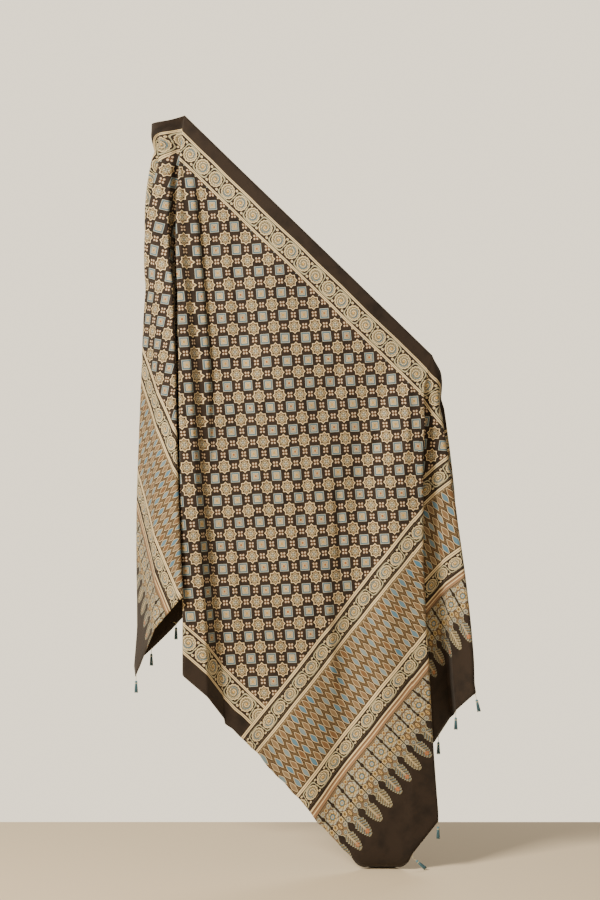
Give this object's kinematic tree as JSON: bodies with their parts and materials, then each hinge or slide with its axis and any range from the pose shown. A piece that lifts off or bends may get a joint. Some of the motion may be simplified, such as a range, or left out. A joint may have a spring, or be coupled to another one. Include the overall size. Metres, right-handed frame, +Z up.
{
  "type": "hanging ajrakh dupatta",
  "caption": "Long block-printed ajrakh cloth with small tassels on both ends, hung by two points of its long edge as a broad slanting panel with gathered folds at each side.",
  "frame": {"origin": "the upper hold, the point of the long top edge from which the cloth hangs", "axes": "+Z up; +X to the viewer's right, along the wall behind; +Y away from the viewer, out of the cloth's back"},
  "size_m": [0.882, 0.2846, 1.8845],
  "materials": {
    "printed_cloth": "soft matte, block-printed in dark brown, cream, grey-blue, yellow and khaki",
    "tassel_thread": "twisted thread, teal with cream strings"
  },
  "bodies": {
    "root": {"cloth": "printed_cloth", "tassel_left_01": "tassel_thread", "tassel_left_02": "tassel_thread", "tassel_left_03": "tassel_thread", "tassel_left_04": "tassel_thread", "tassel_left_05": "tassel_thread", "tassel_left_06": "tassel_thread", "tassel_left_07": "tassel_thread", "tassel_left_08": "tassel_thread", "tassel_left_09": "tassel_thread", "tassel_left_10": "tassel_thread", "tassel_left_11": "tassel_thread", "tassel_left_12": "tassel_thread", "tassel_right_01": "tassel_thread", "tassel_right_02": "tassel_thread", "tassel_right_03": "tassel_thread", "tassel_right_04": "tassel_thread", "tassel_right_05": "tassel_thread", "tassel_right_06": "tassel_thread", "tassel_right_07": "tassel_thread", "tassel_right_08": "tassel_thread", "tassel_right_09": "tassel_thread", "tassel_right_10": "tassel_thread", "tassel_right_11": "tassel_thread", "tassel_right_12": "tassel_thread"}
  },
  "joints": []
}
